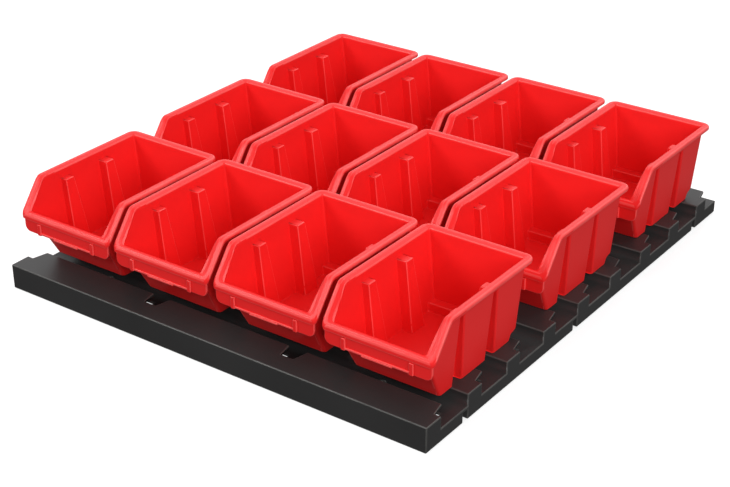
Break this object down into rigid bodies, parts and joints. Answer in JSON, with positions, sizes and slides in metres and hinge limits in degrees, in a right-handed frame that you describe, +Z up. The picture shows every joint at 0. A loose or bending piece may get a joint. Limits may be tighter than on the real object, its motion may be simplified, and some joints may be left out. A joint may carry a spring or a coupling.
{
  "type": "louvred panel with parts bins",
  "caption": "Flat black louvred storage panel carrying red open-fronted stacking and hanging bins with label plates, in rows, each free to lift off.",
  "frame": {"origin": "centre of the panel's underside, on the surface it lies on", "axes": "+Z up, +Y to the back along the panel's length (the way the tongues point), +X to the right across the panel's width"},
  "size_m": [0.386, 0.44, 0.0857],
  "materials": {
    "panel_plastic": "satin",
    "bin_plastic": "satin"
  },
  "bodies": {
    "panel": {"louvre_panel": "panel_plastic"},
    "front_bin_1": {"front_bin_1": "bin_plastic"},
    "front_bin_2": {"front_bin_2": "bin_plastic"},
    "front_bin_3": {"front_bin_3": "bin_plastic"},
    "front_bin_4": {"front_bin_4": "bin_plastic"},
    "middle_bin_1": {"middle_bin_1": "bin_plastic"},
    "middle_bin_2": {"middle_bin_2": "bin_plastic"},
    "middle_bin_3": {"middle_bin_3": "bin_plastic"},
    "middle_bin_4": {"middle_bin_4": "bin_plastic"},
    "rear_bin_1": {"rear_bin_1": "bin_plastic"},
    "rear_bin_2": {"rear_bin_2": "bin_plastic"},
    "rear_bin_3": {"rear_bin_3": "bin_plastic"},
    "rear_bin_4": {"rear_bin_4": "bin_plastic"}
  },
  "joints": [
    {"name": "front_bin_1_lift", "type": "slide", "parent": "panel", "child": "front_bin_1", "axis": [0, 0, 1], "range_m": [0, 0.1]},
    {"name": "front_bin_2_lift", "type": "slide", "parent": "panel", "child": "front_bin_2", "axis": [0, 0, 1], "range_m": [0, 0.1]},
    {"name": "front_bin_3_lift", "type": "slide", "parent": "panel", "child": "front_bin_3", "axis": [0, 0, 1], "range_m": [0, 0.1]},
    {"name": "front_bin_4_lift", "type": "slide", "parent": "panel", "child": "front_bin_4", "axis": [0, 0, 1], "range_m": [0, 0.1]},
    {"name": "middle_bin_1_lift", "type": "slide", "parent": "panel", "child": "middle_bin_1", "axis": [0, 0, 1], "range_m": [0, 0.1]},
    {"name": "middle_bin_2_lift", "type": "slide", "parent": "panel", "child": "middle_bin_2", "axis": [0, 0, 1], "range_m": [0, 0.1]},
    {"name": "middle_bin_3_lift", "type": "slide", "parent": "panel", "child": "middle_bin_3", "axis": [0, 0, 1], "range_m": [0, 0.1]},
    {"name": "middle_bin_4_lift", "type": "slide", "parent": "panel", "child": "middle_bin_4", "axis": [0, 0, 1], "range_m": [0, 0.1]},
    {"name": "rear_bin_1_lift", "type": "slide", "parent": "panel", "child": "rear_bin_1", "axis": [0, 0, 1], "range_m": [0, 0.1]},
    {"name": "rear_bin_2_lift", "type": "slide", "parent": "panel", "child": "rear_bin_2", "axis": [0, 0, 1], "range_m": [0, 0.1]},
    {"name": "rear_bin_3_lift", "type": "slide", "parent": "panel", "child": "rear_bin_3", "axis": [0, 0, 1], "range_m": [0, 0.1]},
    {"name": "rear_bin_4_lift", "type": "slide", "parent": "panel", "child": "rear_bin_4", "axis": [0, 0, 1], "range_m": [0, 0.1]}
  ]
}
